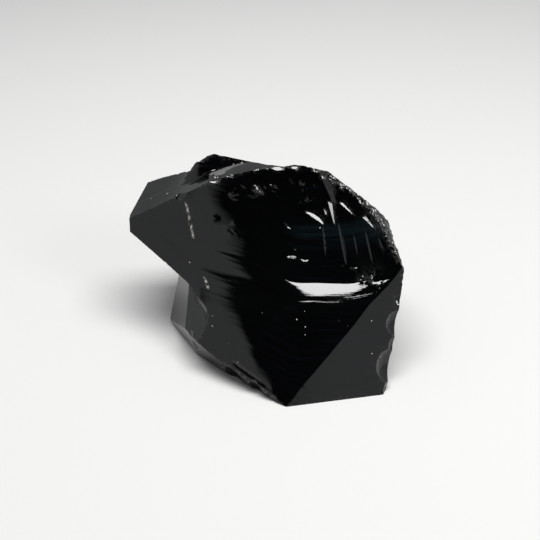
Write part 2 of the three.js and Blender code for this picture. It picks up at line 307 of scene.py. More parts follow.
# %% [markdown]
# ## Ripples, streaks and flutes
# The shock of the blow runs through the glass faster in some places than in others, and the scar
# keeps the marks: broad ripples and fine streaks that follow the step line, and sharp little
# ridges that fan down from the point of impact. In a mirror-like surface a ridge a few hundredths
# of a millimetre high is enough to break up a reflection, so the heights here are very small.
# A bump texture could fake them, but bump leaves the outline and the mesh smooth, so they are real
# height. This cell has the marks with places of their own: flutes and little step scars.

# %% Flutes and step scars
FLUTES = [  # start (side, up), end (side, up), half width, height
    ((15.2, 14.5), (16.4, 1.6), 0.34, 0.085),
    ((19.6, 15.0), (22.6, -1.2), 0.50, 0.130),
    ((27.4, 11.5), (29.6, 1.4), 0.40, 0.085),
    ((24.0, 11.0), (25.4, 3.5), 0.30, 0.045),
    ((12.0, 9.5), (12.4, 3.5), 0.30, 0.030),
    ((31.0, 9.5), (33.4, 3.0), 0.36, 0.060),
]
STEPS = [  # start (side, up), end (side, up), width, slope, True when widest in the middle
    ((9.9, 16.3), (15.5, 12.6), 1.60, 0.52, True),
    ((16.7, 18.9), (18.6, 12.3), 1.50, 0.50, False),
    ((20.0, 18.6), (24.2, 15.0), 1.35, 0.58, False),
    ((26.6, 14.6), (30.0, 11.0), 1.80, 0.60, False),
    ((15.4, 17.2), (16.2, 15.0), 0.50, 0.50, True),
    ((13.8, 27.5), (18.4, 17.8), 2.00, 0.36, True),
]
CLIFF = 0.22            # mm over which a step scar climbs back to the face


def along_line(side, up, start, end):
    """Distance from a line and the part of the way along it, for every grid point."""
    run = np.subtract(end, start)
    length = np.hypot(*run)
    part = ((side - start[0]) * run[0] + (up - start[1]) * run[1]) / length**2
    away = ((side - start[0]) * run[1] - (up - start[1]) * run[0]) / length
    return away, part


def impact_scars(side, up):
    """Depth of the small scars round the point of impact. Each is a step: to the upper right of its
    line the glass drops at the given slope for the given width, then a little cliff climbs back."""
    depth = 0.0
    for start, end, width, slope, leaf in STEPS:
        away, part = along_line(side, up, start, end)
        shape = 4 * part * (1 - part) if leaf else (1 - part) * smooth_step(-0.06, 0.1, part)
        wall = width * np.clip(shape * (part > -0.1) * (part < 1), 0, None)
        step = np.maximum(-away, 0) * smooth_step(wall + CLIFF, wall, -away)
        depth = depth + slope * step * (wall > 0)
    return depth


print("flutes:", len(FLUTES), " step scars:", len(STEPS))

# %% [markdown]
# ## Crescent cracks
# A knock that doesn't take a flake off leaves a bruise: a few small curved cracks in a cluster.
# They are too many to place by hand, and an even scatter would look like sandpaper, so each
# cluster has a place, a spread and a count, and the arcs inside it are drawn from a seed.

# %% Crescent cracks
CRACK_WIDTH = 0.6       # mm over which the glass sinks back outside an arc
CRACKED = [  # side, up, spread along and across in mm, number of cracks
    (-16.2, 14.7, 0.9, 0.7, 4), (-10.5, 12.5, 1.2, 1.0, 6), (4.0, 11.4, 1.3, 0.7, 6),
    (6.8, 4.2, 0.4, 0.9, 3), (8.9, 2.2, 1.4, 0.4, 4), (-9.5, 21.8, 1.5, 0.8, 5),
    (-2.4, 22.9, 3.5, 1.3, 16), (6.2, 24.4, 2.6, 1.2, 10), (30.5, -3.2, 1.6, 0.6, 6),
    (22.0, 1.0, 5.0, 2.5, 3), (11.0, 20.5, 2.0, 1.5, 4),
]


def cracks(side, up):
    """Crescent cracks: each is a little cliff along an arc that faces up the face. Outside the arc
    the glass sinks back by exp(-distance / width)."""
    rng = np.random.default_rng(11)
    total = 0.0
    for at, up_at, wide, tall, count in CRACKED:
        for _ in range(count):
            radius = rng.uniform(0.8, 2.4)
            bend = rng.normal(-math.pi / 2, 0.5)
            span = rng.uniform(0.4, 1.0)
            across = side - at - rng.normal(0, wide) + radius * math.cos(bend)
            upward = up - up_at - rng.normal(0, tall) + radius * math.sin(bend)
            past = np.hypot(across, upward) - radius
            turned = np.cos(np.arctan2(upward, across) - bend)
            along = smooth_step(math.cos(span), math.cos(0.5 * span), turned)
            total = total + (rng.uniform(0.10, 0.32) * along * smooth_step(0, 0.35, past)
                             * np.exp(-np.maximum(past, 0) / CRACK_WIDTH))
    return total


print("crescent cracks:", sum(cluster[4] for cluster in CRACKED))

# %% [markdown]
# ## Streaks, and the finished face
# The streaks are noise that is stretched along the step line and squeezed across it. Four sizes are
# added up, from broad waves to hair-fine lines, each lower than the one before. A texture on a
# flat plane would run straight, but these bend with the step line, as the real ones do. The grid is
# finer where the small scars are and coarser at the borders, which are cut away anyway.

# %% Streaks and the face slab
STREAKS = (5.2, 30, 0.08, 1), (2.3, 20, 0.030, 2), (1.1, 14, 0.010, 3), (0.55, 10, 0.0030, 4)
GROOVE_DEPTH = 0.34     # mm, and how far in from the low left border it lies, and its width
GROOVE_INSET = 1.5
GROOVE_WIDTH = 0.55


def face_relief(side, up):
    """Streaks round the step line, stronger low on the left and on the ledge, a groove beside the
    low left border, and flutes below the impact."""
    phi = up - step_line(side)
    low_left = smooth_step(8, -14, side + 0.35 * up) * smooth_step(4, -6, phi)
    ledge = smooth_step(0.2, -1.0, phi) * smooth_step(-14, -6, phi)
    feather = smooth_step(-24, -16, side) * smooth_step(4, -8, side) * np.exp(-(phi / 7) ** 2)
    relief = 0.0
    for across, along, height, seed in STREAKS:
        drift = 0.8 * lattice_noise(side / 25, up / 25, seed + 20)
        wave = lattice_noise(side / along + 7 * seed, phi / across + drift, seed)
        relief = relief + height * wave * (0.12 + 0.9 * low_left + 1.5 * ledge + 0.8 * feather)
    border = from_hip_line(side, up) - 0.4 * lattice_noise(side / 9, up / 9, 8)
    groove = smooth_step(-13, -9, side) * smooth_step(1, -3, side)
    from_groove = (border - GROOVE_INSET) / GROOVE_WIDTH
    relief = relief - GROOVE_DEPTH * groove * np.exp(-from_groove ** 2)
    for start, end, width, height in FLUTES:
        away, part = along_line(side, up, start, end)
        ends = smooth_step(0, 0.4, part) * smooth_step(1.0, 0.6, part)
        relief = relief + height * ends * np.clip(1 - np.abs(away) / width, 0, None)
    return relief + cracks(side, up) - impact_scars(side, up)


columns = np.concatenate([np.arange(-50, 9, 0.5), np.arange(9, 32, 0.18),
                          np.arange(32, 51, 0.7)])
rows = np.concatenate([np.arange(-49, -10, 0.35), np.arange(-10, 24, 0.22),
                       np.arange(24, 47, 0.5)])
side, along_up = np.meshgrid(columns, rows)
up = along_up + step_line(side)
struck_face = bent_slab(on_face(side, up, face_base(side, up) + face_relief(side, up)), FACE_OUT)
print("struck face grid:", side.shape)

# %% [markdown]
# ## Corners of the lump
# The lump has about two dozen corners where ridges meet. Each scar could be turned by hand until it
# looks right, but then neighbours rarely meet in a point. So the corners are named once and shared:
# a flat scar is the plane through three of them, and two scars that should meet at a corner do.

# %% Named corners
TOE = on_face(*RIDGE[0])
SHOULDER = on_face(*RIDGE[1])
HEEL = np.array([34.2, -28.3, 0.0])
BROW = on_face(11.8, 30.3)
BROW_RIGHT = on_face(34.4, 15.6)
CRUSH_TOP = on_face(14.6, 27.6)
CRUSH_MIDDLE = on_face(30.2, 14.8)
CRUSH_END = on_face(37.0, 0.0)
BROW_EDGE = on_face(28.6, 19.7, 5.9)
SIDE_EDGE = on_face(36.3, 6.6, 6.2)
PEAK = np.array([-14.8, 17.5, 51.0])
DIP = np.array([5.0, 13.6, 47.5])
TIP = on_face(-41.7, 15.7)
TIP_LOW = on_face(-41.5, 10.4)
WING_LOW = on_face(-27.0, -0.9)
NECK_LOW = on_face(-16.2, -10.2)
HIP = on_face(-21.0, -20.1)
BEVEL_TOP = np.array([-13.0, -21.9, 5.5])
NOTCH_BACK = np.array([-25.5, -3.0, 12.0])
NOTCH_FOLD = np.array([-23.1, -5.0, 13.8])
HIP_BACK = np.array([-30.1, 3.4, 1.3])
NECK_BACK = np.array([-27.3, 12.0, 12.1])
SOLE_LEFT = np.array([-21.0, -10.9, 0.0])
SOLE_FRONT = np.array([-13.4, -18.3, 0.0])
CREST_LINE = np.array([(-43.5, 13.9), (-39, 16.2), (-34.5, 17.8), (-27.1, 20.8), (-18.4, 24.4),
                       (-11.6, 26.4), (-5.7, 27.8), (2.3, 28.6), (8.2, 28.9), (11.8, 31.0),
                       (16.8, 28.9), (25, 28.3)])
crest = on_face(*CREST_LINE.T)


def normal_through(a, b, c, outward):
    """Outward normal of the plane through three corners."""
    n = unit(np.cross(b - a, c - a))
    return n if n @ np.asarray(outward) > 0 else -n


print("peak, dip and heel, mm:", PEAK, DIP, HEEL, " crest corners:", len(crest))

# %% [markdown]
# ## One scar, one closed solid
# A flake that comes off leaves a nearly flat surface with faint rings spreading from the blow.
# Each scar is made as the near side of a closed slab, and the slab reaches far outwards, so it
# takes away everything in front of the scar. Cutting with slabs keeps the lump closed at every
# step, and the ridges need no modelling of their own: they are where two scars meet.

# %% A flake scar
RINGS_FROM = 60         # mm from the middle of a scar to the point that its rings spread from


def waves(s, t, spacing, height, turn):
    """Faint ripples of one scar: rings of the given spacing round a far-off point."""
    ring = np.hypot(s - RINGS_FROM * math.cos(turn), t - RINGS_FROM * math.sin(turn))
    strength = 0.5 + 0.5 * lattice_noise(s / 14, t / 14, int(spacing * 10))
    return height * strength * np.sin(ring * 2 * math.pi / spacing + 1.5 * np.sin(ring * 0.11))


def bruises(s, t, height):
    """Rough crushed glass: three sizes of noise, each half the height of the one before."""
    rough = 0.0
    for octave in range(3):
        size = 2.2 / 2**octave
        rough = rough + 0.5**octave * lattice_noise(s / size + 5, t / size + 9, 40 + octave)
    return height * rough


def flake(point, direction, curve=0.0, cells=60, ripple=0.02, spacing=5.5, turn=1.0, crushed=0.0,
          size=120):
    """One scar: the plane through point, hollowed by curve times distance squared, with ripples
    and, where the edge is crushed, roughness."""
    a, b, out = scar_axes(direction)
    s, t = grid(size, size, cells, cells)
    height = curve * (s * s + t * t) + waves(s, t, spacing, ripple, turn) + bruises(s, t, crushed)
    near = np.asarray(point) + s[..., None] * a + t[..., None] * b + height[..., None] * out
    return bent_slab(near, out)


plain_ripples = waves(*grid(60, 60, 60, 60), 5.5, 0.02, 1)
print("ripples of a plain scar, mm:", float(np.round(np.abs(plain_ripples).max(), 3)))

# %% [markdown]
# ## Scoops
# A flake that dives into the glass and comes out again leaves a rounded hollow with two flanks, and
# the notch under the wing is one. A ball or a cylinder could cut it, but its flanks are nearly
# flat, so a scoop is two planes joined by a soft maximum, and the softness is the roundness.

# %% A scoop
def scoop(point, direction, first, second, roundness, cells=110):
    """Two planes that meet in a rounded hollow, as a height field over the plane between them."""
    a, b, out = scar_axes(direction)
    s, t = grid(120, 120, cells, cells)
    base = np.asarray(point) + s[..., None] * a + t[..., None] * b
    rises = [((corner - base) @ normal) / (out @ normal) for corner, normal in (first, second)]
    height = soft_max(*rises, roundness) + waves(s, t, 4.0, 0.02, 2.0)
    return bent_slab(base + height[..., None] * out, out)


print("a scoop with roundness 2.5 is filled by", float(soft_max(0.0, 0.0, 2.5)), "mm at its fold")

# %% [markdown]
# ## Shelf, wall and saddle
# Behind the crest a shelf runs back to a steep wall, and the wall climbs to the peak. These follow
# the bent crest line, so one plane through three corners isn't enough. They are height fields above
# the ground: every point is placed by how far it lies behind the crest, which keeps the shelf's
# front border exactly on the crest.

# %% Shelf, wall and saddle
SHELF_TILT, SHELF_TILT_LEFT = 0.06, 0.18   # slope of the shelf backwards, and more on the left
WALL_CLIMB = 1.60       # slope of the wall below the peak, towards the back
WALL_ALONG = 0.10       # and towards the right
BEHIND_PEAK = -0.215, 0.977    # direction, in x and y, in which the wall falls again past the peak
BEHIND_FALL = 2.6
LEFT_END, LEFT_FALL = -21.5, 1.2   # x where the wall ends on the left, and how fast it falls there
SADDLE_LEFT, SADDLE_RIGHT, SADDLE_BACK = -0.28, 0.30, -0.8   # slopes away from the lowest point


def crest_curve(x, column):
    """y or z of the crest above x: the broken line through its corners, averaged over 2 mm."""
    order = np.argsort(crest[:, 0])
    shifts = np.linspace(-1, 1, 5)
    return sum(np.interp(x + shift, *crest[order][:, (0, column)].T) for shift in shifts) / 5


def shelf_and_wall():
    """The shelf behind the crest, which starts at the crest's height, and the flat wall that
    climbs from it to the peak. Every point is placed by how far it lies behind the crest."""
    distance_back = np.concatenate([np.arange(-12, -1, 1.0), np.arange(-1, 6, 0.15),
                                    np.arange(6, 34, 1.0)])
    x, behind = np.meshgrid(np.linspace(-48, 30, 157), distance_back)
    y = crest_curve(x, 1) + behind
    tilt = SHELF_TILT + SHELF_TILT_LEFT * smooth_step(-22, -34, x)
    shelf = crest_curve(x, 2) + tilt * behind - 0.01 * np.minimum(behind, 0)
    shelf += 0.035 * lattice_noise(x / 16, behind - x / 10, 31) * smooth_step(0, 1.5, behind)
    wall = PEAK[2] + WALL_ALONG * (x - PEAK[0]) + WALL_CLIMB * (y - PEAK[1])
    past_peak = BEHIND_PEAK[1] * (y - PEAK[1]) + BEHIND_PEAK[0] * (x - PEAK[0])
    wall -= BEHIND_FALL * np.maximum(past_peak, 0)
    wall -= LEFT_FALL * soft_ramp(LEFT_END - x, 0.8)
    return bent_slab(np.stack([x, y, soft_max(shelf, wall, 0.1)], -1), (0, 0, 1))


def saddle():
    """The dip in the skyline between the two peaks, falling away to the back."""
    x, y = grid(100, 60, 80, 20)
    x, y = x + DIP[0], y + DIP[1]
    z = DIP[2] + soft_max(SADDLE_LEFT * (x - DIP[0]), SADDLE_RIGHT * (x - DIP[0]), 0.6)
    z += SADDLE_BACK * (y - DIP[1])
    return bent_slab(np.stack([x, y, z], -1), (0, 0, 1))


print("crest height above its middle, mm:", float(np.round(crest_curve(0.0, 2), 2)))

# %% [markdown]
# ## All the scars
# The list runs from the large front face to the back, but the order of the cuts makes no difference
# to the shape. Most scars need no more than a point and a direction. The right side is plain, the
# back is slightly hollow, and the crushed strips are rough, because the blows landed there.

# %% All the scars
neck_side = normal_through(NECK_LOW, on_face(-18.6, -17.0), NOTCH_BACK, (-1, -1, 0))
notch_left = normal_through(HIP_BACK, NECK_BACK, NOTCH_FOLD, (-1, 0, 0))
crushed_brow = normal_through(CRUSH_TOP, CRUSH_MIDDLE, BROW_EDGE, (0, 0, 1))
crushed_side = normal_through(CRUSH_MIDDLE, CRUSH_END, SIDE_EDGE, (1, 0, 0))
back_of_neck = normal_through(HIP_BACK, NECK_BACK, NECK_BACK + (0.34, 0.93, 0), (-1, 0, 0))
scars = {
    "struck face": struck_face,
    "right facet": flake(TOE, normal_through(TOE, HEEL, SHOULDER, (0, -1, 0)), ripple=0.008),
    "notch": scoop(NECK_LOW, (-0.78, -0.42, -0.35), (NECK_LOW, neck_side),
                   (WING_LOW, unit((-0.48, -0.05, -0.85))), 2.5),
    "notch left": scoop(HIP_BACK, (-0.80, -0.20, -0.45), (HIP_BACK, notch_left),
                        (WING_LOW, unit((-0.48, -0.05, -0.85))), 2.5),
    "bevel left": flake(SOLE_LEFT, normal_through(SOLE_LEFT, SOLE_FRONT, HIP, (-1, -1, 0))),
    "bevel": flake(BEVEL_TOP, normal_through(SOLE_FRONT, TOE, BEVEL_TOP, (-1, -1, 0)),
                   cells=200, ripple=0.05, spacing=2.1, turn=1.45, size=80),
    "hip": flake(HIP, normal_through(SOLE_LEFT, HIP, HIP_BACK, (-1, -1, -1)), size=60),
    "back of notch": scoop(HIP_BACK, (-0.85, 0.25, -0.40), (HIP_BACK, back_of_neck),
                           (WING_LOW + (0, 0, -1.5), unit((-0.46, 0.10, -0.88))), 2.5),
    "shelf": shelf_and_wall(),
    "saddle": saddle(),
    "wing end": flake(TIP, (-0.88, 0.16, 0.46)),
    "wing end low": flake(TIP_LOW, (-0.97, 0.10, -0.15)),
    "behind peak": flake(PEAK, (-0.14, 0.83, 0.54)),
    "right of peak": flake(PEAK, (0.21, 0.70, 0.69)),
    "crushed brow": flake(CRUSH_TOP + (0.2, -0.1, 0.32), crushed_brow, cells=200, crushed=0.10,
                          size=50),
    "crushed side": flake(CRUSH_END + (0.5, -0.2, 0.15), crushed_side, cells=200, crushed=0.10,
                          size=50),
    "behind brow": flake((BROW + BROW_RIGHT) / 2 + (0.4, 1.2, -1.35), (0.60, 0.49, 0.63),
                         cells=160, crushed=0.12, size=90),
    "right side": flake((SHOULDER + BROW_RIGHT) / 2 + (0.95, 0, 0), (0.95, 0.30, -0.01)),
    "right side low": flake(HEEL, (0.97, 0.12, -0.25)),
    "back right": flake((24, 17, 22), (0.55, 0.82, -0.10), 0.0035),
    "back": flake((-8, 25, 14), (-0.15, 0.97, -0.12), 0.003),
    "back left": flake((-24, 26, 14), (-0.50, 0.83, -0.25), 0.0035),
}
print("flake scars:", len(scars))

# %% [markdown]
# ## Breaking the block
# Blender's Boolean modifier has a Manifold solver that is quick and exact on closed solids. The
# older Exact solver takes open meshes too, but it is far slower, and every mesh here is closed.
# Each cut is baked into the mesh at once, so the modifier stack never grows.

# %% Cutting
def add_object(name, points, faces):
    """A mesh object from points and faces."""
    mesh = bpy.data.meshes.new(name)
    mesh.from_pydata(np.asarray(points).tolist(), [], faces)
    obj = bpy.data.objects.new(name, mesh)
    bpy.context.scene.collection.objects.link(obj)
    return obj


def cut(stone, points, faces):
    """Takes a closed solid away from the stone and bakes the result into the stone's mesh."""
    cutter = add_object("cutter", points, faces)
    modifier = stone.modifiers.new("cut", "BOOLEAN")
    modifier.operation = "DIFFERENCE"
    modifier.solver = "MANIFOLD"
    modifier.object = cutter
    bpy.context.view_layer.update()
    baked = bpy.data.meshes.new_from_object(
        stone.evaluated_get(bpy.context.evaluated_depsgraph_get()))
    stone.modifiers.clear()
    spent = (stone.data, cutter.data)
    stone.data = baked
    bpy.data.objects.remove(cutter)
    for mesh in spent:
        bpy.data.meshes.remove(mesh)


def array_of(items, name, width, kind=float):
    """One property of every vertex, edge or face as a numpy array."""
    values = np.zeros(len(items) * width, kind)
    items.foreach_get(name, values)
    return values.reshape(-1, width) if width > 1 else values


BLOCK = 92.0            # mm, the side of the rough block before anything is knocked off
block_corners = np.array([(x, y, z) for x in (-1, 1) for y in (-1, 1) for z in (0, 2)])
block_faces = [(0, 1, 3, 2), (4, 6, 7, 5), (0, 4, 5, 1), (2, 3, 7, 6), (0, 2, 6, 4), (1, 5, 7, 3)]
stone = add_object("obsidian_lump", block_corners * BLOCK / 2, block_faces)
for points, faces in scars.values():
    cut(stone, points, faces)
print("after the flake scars:", len(stone.data.polygons), "faces")

# %% [markdown]
# ## Balls that cut bowls
# Volcanic glass ridges are sharp and fragile, so they are always nicked. A nick is a tiny flake
# scar: a shallow bowl. It could be pressed in by moving vertices, but that leaves a soft rim, so
# each one is cut by a ball whose surface dips a little below the ridge. Many balls can be one mesh,
# as long as they don't touch each other.

# %% Balls that cut bowls
def balls(centres, radii, around=26, up_down=15):
    """Closed balls: rings of latitude round each centre, closed by one pole point at each end."""
    theta = np.linspace(0, math.pi, up_down + 1)[1:-1]
    turn = np.linspace(0, 2 * math.pi, around, endpoint=False)
    ring = np.stack([np.outer(np.sin(theta), np.cos(turn)), np.outer(np.sin(theta), np.sin(turn)),
                     np.outer(np.cos(theta), np.ones(around))], -1).reshape(-1, 3)
    shape = np.vstack([ring, [[0, 0, 1], [0, 0, -1]]])
    index = np.arange(len(ring)).reshape(up_down - 1, around)
    after = np.roll(index, -1, 1)
    quads = np.stack([index[:-1], index[1:], after[1:], after[:-1]], -1).reshape(-1, 4)
    north = np.stack([index[0], after[0], np.full(around, len(ring))], -1)
    south = np.stack([after[-1], index[-1], np.full(around, len(ring) + 1)], -1)
    points = np.asarray(radii)[:, None, None] * shape + np.asarray(centres)[:, None]
    offsets = np.arange(len(radii))[:, None, None] * len(shape)
    faces = (quads + offsets).reshape(-1, 4).tolist()
    for cap in (north, south):
        faces += (cap + offsets).reshape(-1, 3).tolist()
    return points.reshape(-1, 3), faces


print("one ball:", len(balls([(0, 0, 0)], [1.0])[1]), "faces")

# %% [markdown]
# ## Chips
# The larger chips are seen one by one, so a random scatter won't do. Each has a place of its own:
# part of the way from one named corner to another, the direction it was struck from, the radius of
# its bowl and how deep it bites.

# %% Chips
CHIPS = [   # start corner, end corner, part of the way, outwards, ball radius, depth of the bite
    (HEEL, SHOULDER, 0.06, (0.8, -0.55, 0), 5.5, 1.0),
    (HEEL, SHOULDER, 0.23, (0.35, -0.75, 0.4), 7.0, 2.4),
    (HEEL, SHOULDER, 0.40, (0.6, -0.7, 0.2), 3.4, 0.9),
    (HEEL, SHOULDER, 0.50, (0.7, -0.6, 0.2), 2.6, 0.6),
    (HEEL, SHOULDER, 0.58, (0.35, -0.85, 0.3), 5.0, 1.5),
    (HEEL, SHOULDER, 0.76, (0.1, -0.9, 0.4), 3.2, 0.30),
    (SOLE_FRONT, TOE, 0.20, (-0.4, -0.8, 0.1), 6.0, 0.5),
    (SOLE_FRONT, TOE, 0.55, (-0.4, -0.8, 0.1), 4.0, 0.4),
    (SOLE_LEFT, HIP, 0.50, (-0.8, -0.6, 0), 4.0, 0.5),
    (crest[3], crest[4], 0.0, (-0.1, -0.6, 0.8), 3.6, 0.30),
    (crest[4], crest[5], 0.3, (0, -0.6, 0.8), 4.6, 0.30),
    (crest[7], crest[8], 0.0, (0, -0.5, 0.85), 6.0, 0.45),
    (crest[7], crest[8], 0.8, (0, -0.5, 0.85), 3.4, 0.45),
]
for start, end, part, outwards, radius, bite in CHIPS:
    ridge = np.asarray(start) + part * (np.asarray(end) - start)
    cut(stone, *balls([ridge + unit(outwards) * (radius - bite)], [radius]))

print("after the chips:", len(stone.data.polygons), "faces")

# %% [markdown]
# ## Small nicks
# Handling knocks hundreds of tiny flakes off the ridges. To place them, the ridges have to be
# known, and the cuts made ridges that no list has. So they are found from the mesh itself: an edge
# whose two faces bend sharply away from each other.

# %% Finding the ridges
def sharp_edges(mesh, angle):
    """Middle, length and outward direction of every ridge whose two faces bend by over `angle`:
    an edge is a ridge, not a crease, when each face lies behind the plane of the other."""
    loops_edge = array_of(mesh.loops, "edge_index", 1, np.int64)
    counts = array_of(mesh.polygons, "loop_total", 1, np.int64)
    owner = np.repeat(np.arange(len(counts)), counts)
    order = np.argsort(loops_edge, kind="stable")
    edge_sorted, face_sorted = loops_edge[order], owner[order]
    first = np.flatnonzero(edge_sorted[1:] == edge_sorted[:-1])
    edge_id = edge_sorted[first]
    normals = array_of(mesh.polygons, "normal", 3)
    n1, n2 = normals[face_sorted[first]], normals[face_sorted[first + 1]]
    middles = array_of(mesh.polygons, "center", 3)
    towards = middles[face_sorted[first + 1]] - middles[face_sorted[first]]
    bent = ((n1 * n2).sum(1) < math.cos(angle)) & ((towards * n1).sum(1) < 0)
    ends = array_of(mesh.vertices, "co", 3)[array_of(mesh.edges, "vertices", 2, np.int64)]
    ends = ends[edge_id[bent]]
    out = n1[bent] + n2[bent]
    out /= np.linalg.norm(out, axis=1, keepdims=True) + 1e-9
    return ends.mean(1), np.linalg.norm(ends[:, 1] - ends[:, 0], axis=1), out, edge_id[bent]


RIDGE_ANGLE = math.radians(32)
print("ridge length, mm:", round(float(sharp_edges(stone.data, RIDGE_ANGLE)[1].sum())))

# %% [markdown]
# ## Where the lump was knocked about
# Wear is never even. The brow at the upper right took the blows and is nicked all over, the crest
# and the right side less, and the wing's end hardly at all. A painted weight map would do, but a
# formula of the place on the lump serves for the nicks and for the grey-white of the ridges too,
# which is partly wear and partly painted glints.

# %% Knocks
BROW_KNOCKS = 3         # how much more each part was knocked about than a quiet edge
CREST_KNOCKS = 0.7
RIGHT_KNOCKS = 1.5
FOOT_KNOCKS = 1.5
QUIET_KNOCKS = 0.5
CRUSH_BEND = 30.2, 14.8     # side and up of the bend in the crushed strip's inner border


def knocks(points):
    """How badly an edge was knocked about: the brow on the right most, then crest and right side.
    The wing's end, the base and the small scars inside the struck face are spared."""
    x, y, z = points.T
    side_up = x - FACE_CENTRE[0], (points - FACE_CENTRE) @ FACE_UP
    brow = smooth_step(10, 16, x) * smooth_step(28, 34, z) * BROW_KNOCKS
    crest_side = smooth_step(36, 42, z) * CREST_KNOCKS
    right_edge = smooth_step(28, 33, x) * RIGHT_KNOCKS
    foot = smooth_step(9, 3, z) * smooth_step(8, 0, x) * smooth_step(5, -5, y) * FOOT_KNOCKS
    across, below = CRUSH_BEND[0] - side_up[0], CRUSH_BEND[1] - side_up[1]
    inside = np.minimum(0.63 * across + 0.77 * below, 0.91 * across + 0.42 * below)
    inner = smooth_step(0.0, 1.0, inside) * smooth_step(5, 8, x) * smooth_step(27, 24, side_up[1])
    spared = smooth_step(0.1, 0.6, z) * (1 - 0.9 * smooth_step(-34, -37, x)) * (1 - inner)
    return (QUIET_KNOCKS + brow + crest_side + right_edge + foot) * spared


print("knocks at the brow and at the peak:", np.round(knocks(np.array([BROW_RIGHT, PEAK])), 2))

# %% [markdown]
# ## Dropping the nicks
# Small balls are dropped along the ridges, more of them where the knocks are, and most of them
# tiny: the radius is a squared random number. The draws are seeded, so the same nicks come back
# every time. They come in two rounds, so that some nicks of the second round bite into the first.

# %% Nicks
CLEARANCE = 0.02        # mm between two balls of one batch


def cut_balls(stone, centre, radius):
    """Cuts many small balls, in batches of balls that stay clear of each other."""
    left = np.arange(len(radius))
    while len(left):
        batch, rest = [], []
        for i in left:
            gaps = np.linalg.norm(centre[batch] - centre[i], axis=-1)
            clear = (gaps > radius[batch] + radius[i] + CLEARANCE).all()
            (batch if clear else rest).append(i)
        cut(stone, *balls(centre[batch], radius[batch], around=18, up_down=12))
        left = np.array(rest, int)


def nick_edges(stone, count, seed):
    """Small bowls along the sharp edges, more of them where the lump was knocked about."""
    rng = np.random.default_rng(seed)
    middle, length, out, _ = sharp_edges(stone.data, RIDGE_ANGLE)
    weight = length * knocks(middle)
    pick = rng.choice(len(middle), count, p=weight / weight.sum())
    radius = rng.uniform(0.5, 1.0, count) ** 2 * rng.uniform(0.7, 2.6, count)
    bite = radius * rng.uniform(0.08, 0.28, count)
    lean = out[pick] + rng.normal(0, 0.25, (count, 3))
    lean /= np.linalg.norm(lean, axis=1, keepdims=True)
    centre = middle[pick] + lean * (radius - bite)[:, None]
    cut_balls(stone, centre, radius)


nick_edges(stone, 150, 5)
nick_edges(stone, 170, 6)
print("after the nicks:", len(stone.data.polygons), "faces")

# %% [markdown]
# ## Sweeping up the crumbs
# A nick can cut a thin spur right off, and the crumb would float beside the lump. It could be
# picked out by hand in Edit Mode, but a script has to find it: every vertex hands its label to its
# neighbours until nothing changes, and then each connected piece has one label. Only the biggest
# piece is kept. The cuts may also leave edges that are next to nothing long, and they are closed.

# %% Keep the lump
SLIVER = 1e-4           # mm, the length below which an edge is taken for a leftover of a cut


def biggest_piece(mesh):
    """True for the vertices of the biggest connected piece: the lowest label is passed along the
    edges until nothing changes."""
    ends = array_of(mesh.edges, "vertices", 2, np.int64)
    label = np.arange(len(mesh.vertices))
    while True:
        lowest = np.minimum(label[ends[:, 0]], label[ends[:, 1]])
        spread = label.copy()
        np.minimum.at(spread, ends[:, 0], lowest)
        np.minimum.at(spread, ends[:, 1], lowest)
        spread = spread[spread]
        if (spread == label).all():
            break
        label = spread
    names, counts = np.unique(label, return_counts=True)
    return label == names[counts.argmax()]


def drop_vertices(mesh, unwanted):
    """Takes the unwanted vertices and their faces out of the mesh, closes up slivers, and splits
    the faces with more than four corners."""
    work = bmesh.new()
    work.from_mesh(mesh)
    work.verts.ensure_lookup_table()
    crumbs = [work.verts[i] for i in np.flatnonzero(unwanted)]
    bmesh.ops.delete(work, geom=crumbs, context="VERTS")
    bmesh.ops.dissolve_degenerate(work, dist=SLIVER, edges=work.edges)
    bmesh.ops.triangulate(work, faces=[f for f in work.faces if len(f.verts) > 4])
    work.to_mesh(mesh)
    work.free()


kept = biggest_piece(stone.data)
drop_vertices(stone.data, ~kept)
print("crumbs dropped:", int((~kept).sum()), "vertices")

# %% [markdown]
# ## Fitting the lump to the frame
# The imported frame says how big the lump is. The mesh is stretched by the few hundredths that its
# box differs from the frame's box, so the two agree exactly. Scaling the object would do the same,
# but then its place would not be in its mesh, and the object has to stay at the origin, unscaled.
# Edges that bend sharply are marked, so that the scars shade smoothly and the ridges between them
# stay crisp.

# %% Fit it and shade it
CREASE_ANGLE = math.radians(12)
design = array_of(stone.data.vertices, "co", 3)
low, high = design.min(0), design.max(0)


def to_frame(points):
    """From the lump's own millimetres to the frame's metres: box to box."""
    return (np.asarray(points) - low) / (high - low) * box_size + box_low


stone.data.vertices.foreach_set("co", to_frame(design).ravel())
stone.data.update()
stone.data.shade_smooth()
stone.data.set_sharp_from_angle(angle=CREASE_ANGLE)
stretch = box_size / MM / (high - low)
print("lump:", len(stone.data.polygons), "faces, stretch", np.round(stretch, 4))

# %% [markdown]
# ## Marks carried by the mesh
# Three things about the finish depend on where a point sits on the lump. They could be painted on
# a UV map, but a lump has no good place for a seam, so they are stored on the mesh itself as
# attributes, and the material reads them. `flow` is the place along and across the streaks, and it
# places the painted sheen too. The ridge mask is greatest on a ridge that was knocked about, and
# fades to 0 within a millimetre; the material turns the ridges grey-white with it, partly as wear
# and partly as painted glints. `scratch` is 1 along two scrapes on the left, where something hard
# was dragged over the glass.

# %% Attributes
# The grey-white on the ridges is partly wear and partly painted glints; it fades out over this
# width.
WEAR_AND_GLINT_WIDTH = 0.9        # mm over which the wear fades out beside a ridge
SCRAPES = (((-24.5, 19.1), (-22.4, 9.1)),    # start and end of each scrape, in side and up
           ((-19.0, -2.0), (-17.8, -5.1)))
SCRAPE_WIDTH = 0.2
side_of = design[:, 0] - FACE_CENTRE[0]
up_of = (design - FACE_CENTRE) @ FACE_UP
flow = np.stack([side_of, up_of - step_line(side_of), (design - FACE_CENTRE) @ FACE_OUT], 1)

